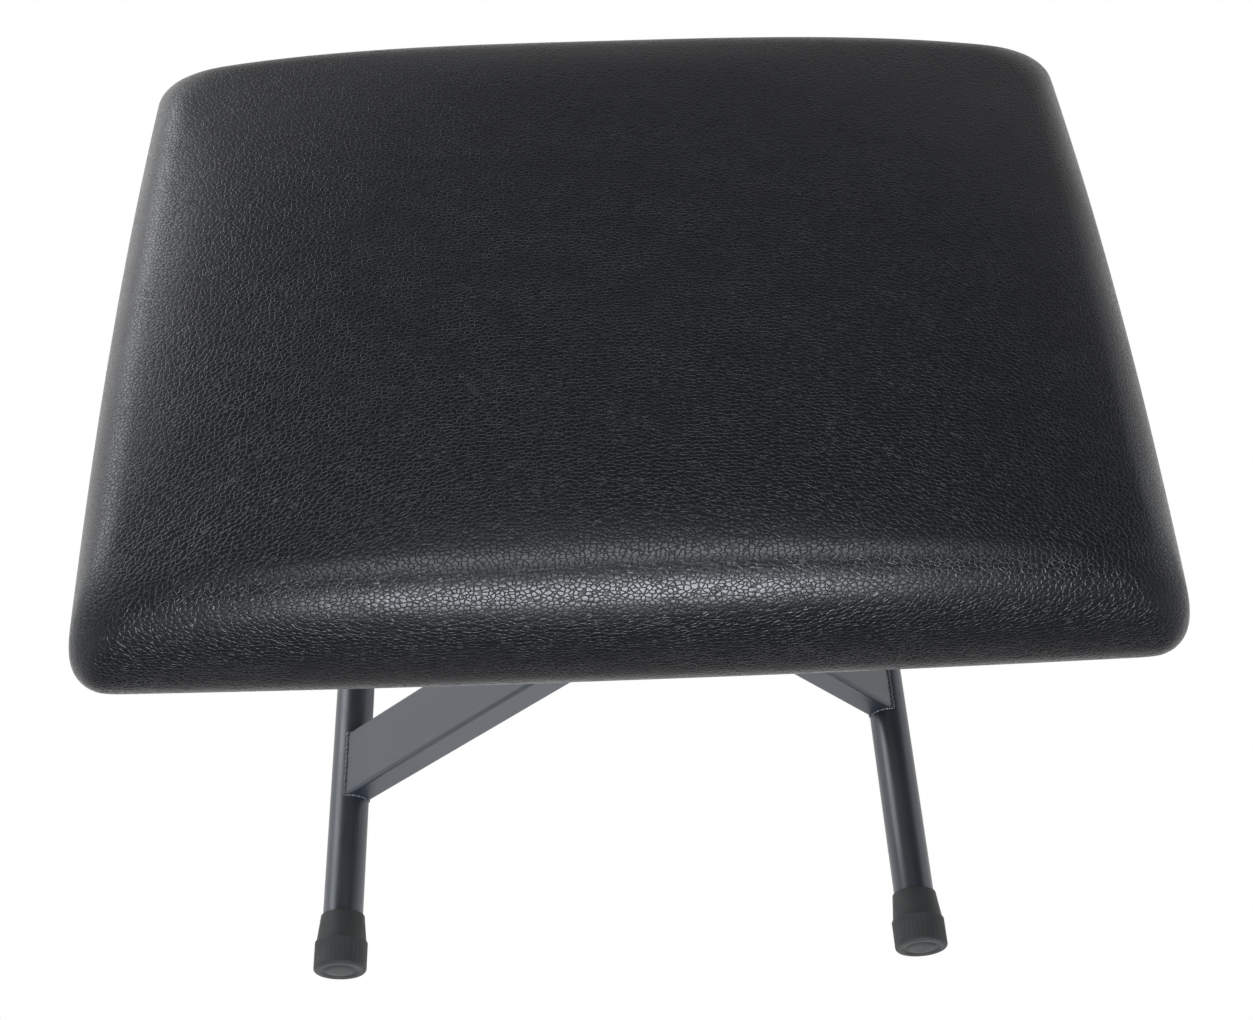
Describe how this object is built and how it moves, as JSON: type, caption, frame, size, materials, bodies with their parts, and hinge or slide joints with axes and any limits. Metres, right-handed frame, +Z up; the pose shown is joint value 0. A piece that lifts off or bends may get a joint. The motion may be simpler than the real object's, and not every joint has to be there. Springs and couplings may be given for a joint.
{
  "type": "folding piano stool",
  "caption": "Folding piano stool with a padded rectangular vinyl seat on a single crossed pair of steel legs with round foot tubes and rubber end caps",
  "frame": {"origin": "on the floor, in the middle of the four feet, under the pivot of the crossed legs", "axes": "+Z up, +X to the sitter's right along the long side of the seat, -Y towards the front"},
  "size_m": [0.4714, 0.3564, 0.4871],
  "materials": {
    "black_vinyl": "fine pebbled faux leather, satin",
    "foam": "open-cell upholstery foam",
    "plywood": "plain birch plywood",
    "painted_frame": "satin dark grey powder coat",
    "zinc_steel": "bright zinc plate",
    "cap_rubber": "matte dark grey rubber",
    "black_plastic": "matte moulded plastic",
    "white_nylon": "natural nylon",
    "spring_steel": "bright drawn wire"
  },
  "bodies": {
    "seat": {"seat_cover": "black_vinyl", "foam_pad": "foam", "seat_board": "plywood", "cover_staples": "zinc_steel", "tee_nuts": "zinc_steel", "hinge_saddles": "painted_frame", "saddle_screws": "zinc_steel", "slide_rail_front": "painted_frame", "slide_rail_rear": "painted_frame", "rail_screws": "zinc_steel"},
    "front_leg": {"front_leg_bar": "painted_frame", "front_foot_tube": "painted_frame", "front_top_tube": "painted_frame", "left_front_foot_cap": "cap_rubber", "left_rear_foot_cap": "cap_rubber", "hinge_tube_plugs": "black_plastic", "pivot_bush_front": "zinc_steel", "pivot_bolt": "zinc_steel", "pivot_washers": "zinc_steel", "pivot_lock_nut": "zinc_steel", "spacer_washer": "white_nylon", "lock_pin_guide": "zinc_steel", "lock_spring": "spring_steel"},
    "rear_leg": {"rear_leg_bar": "painted_frame", "rear_foot_tube": "painted_frame", "rear_top_tube": "painted_frame", "right_front_foot_cap": "cap_rubber", "right_rear_foot_cap": "cap_rubber", "slide_tube_plugs": "black_plastic", "slide_studs": "zinc_steel", "slide_rollers": "white_nylon", "pivot_bush_rear": "zinc_steel", "lock_disc": "painted_frame"},
    "lock_pin": {"lock_pin": "zinc_steel", "pull_knob": "black_plastic"}
  },
  "joints": [
    {"name": "seat_hinge", "type": "hinge", "parent": "seat", "child": "front_leg", "pos_m": [0.15791, 0, 0.3948], "axis": [0, 1, 0], "range_deg": [-7, 40]},
    {"name": "leg_pivot", "type": "hinge", "parent": "front_leg", "child": "rear_leg", "pos_m": [0, 0, 0.21942], "axis": [0, 1, 0], "range_deg": [-80, 14]},
    {"name": "lock_pin_slide", "type": "slide", "parent": "front_leg", "child": "lock_pin", "axis": [0, 1, 0], "range_m": [0, 0.0045]}
  ],
  "couplings": [
    {"joint": "leg_pivot", "follows": "seat_hinge", "ratio": -2}
  ]
}
